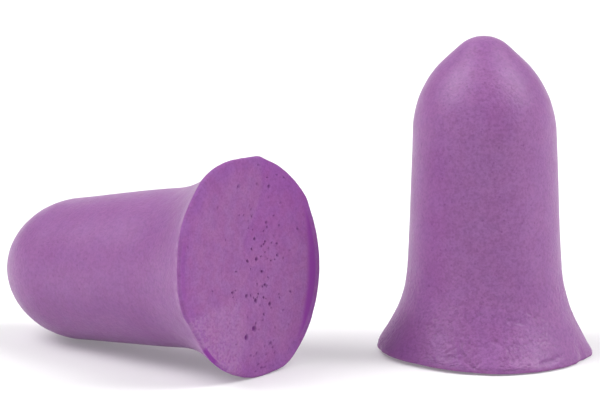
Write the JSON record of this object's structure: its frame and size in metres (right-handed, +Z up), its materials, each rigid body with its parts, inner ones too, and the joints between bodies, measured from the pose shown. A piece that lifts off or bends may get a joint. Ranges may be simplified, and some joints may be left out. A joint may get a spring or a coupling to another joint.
{
  "type": "foam ear plugs",
  "caption": "Bell-shaped moulded foam ear plugs, loose: one stands on its flared cut face with its nose up, the other lies on its side with its cut face showing.",
  "frame": {"origin": "on the surface the plugs rest on, at the middle of the pair's footprint box", "axes": "+X from the lying plug towards the standing plug, +Y away from the viewer who faces the lying plug's cut face, +Z up along the standing plug's axis towards its nose"},
  "size_m": [0.045, 0.0228, 0.024],
  "materials": {
    "foam": "matt moulded skin on slow-recovery polyurethane foam, with open cells on the cut face"
  },
  "bodies": {
    "standing": {"standing_plug": "foam"},
    "lying": {"lying_plug": "foam"}
  },
  "joints": [
    {"name": "lying_plug_lift", "type": "slide", "parent": "standing", "child": "lying", "axis": [0, 0, 1], "range_m": [0, 0.03]}
  ]
}
